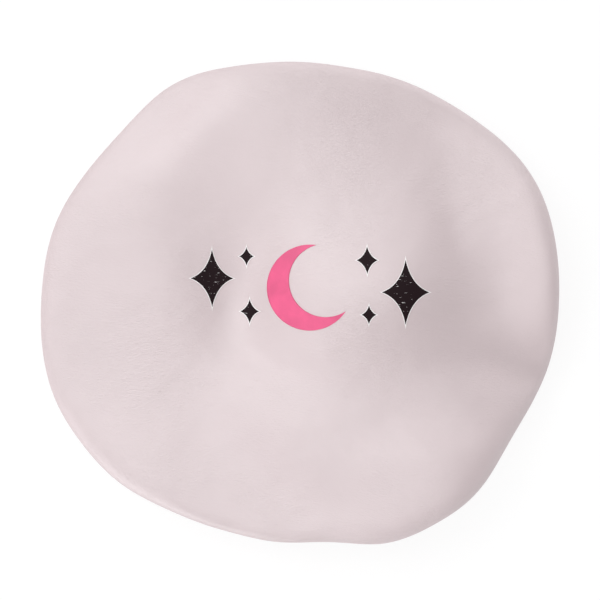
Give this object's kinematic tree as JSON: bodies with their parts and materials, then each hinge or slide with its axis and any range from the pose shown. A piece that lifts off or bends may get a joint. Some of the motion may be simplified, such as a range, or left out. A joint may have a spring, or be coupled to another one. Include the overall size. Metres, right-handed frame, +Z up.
{
  "type": "sleep cap",
  "caption": "Satin sleep cap with a wide gathered crown, a lining and a ruffled elastic band, lying crown up on its opening; it keeps hair covered overnight.",
  "frame": {"origin": "on the table, under the middle of the box that the lying cap fills", "axes": "+Z up out of the crown, +X to the right of the print and along the longest extent, +Y to the top of the print"},
  "size_m": [0.33, 0.308, 0.065],
  "materials": {
    "satin": "pale blush polyester satin, soft sheen, fine weave",
    "lining": "pale blush satin, dull face out",
    "elastic": "white woven elastic tape",
    "thread": "blush polyester sewing thread",
    "print_pink": "hot pink heat-transfer film, matte",
    "print_black": "black heat-transfer film with a thin white keyline, matte"
  },
  "bodies": {
    "root": {"outer_crown": "satin", "crown_lining": "lining", "band_casing": "satin", "elastic_band": "elastic", "elastic_join_thread": "thread", "casing_end_seam_thread": "thread", "upper_needle_thread": "thread", "upper_bobbin_thread": "thread", "lower_needle_thread": "thread", "lower_bobbin_thread": "thread", "print_moon": "print_pink", "print_star_1": "print_black", "print_star_2": "print_black", "print_star_3": "print_black", "print_star_4": "print_black", "print_star_5": "print_black", "print_star_6": "print_black"}
  },
  "joints": []
}
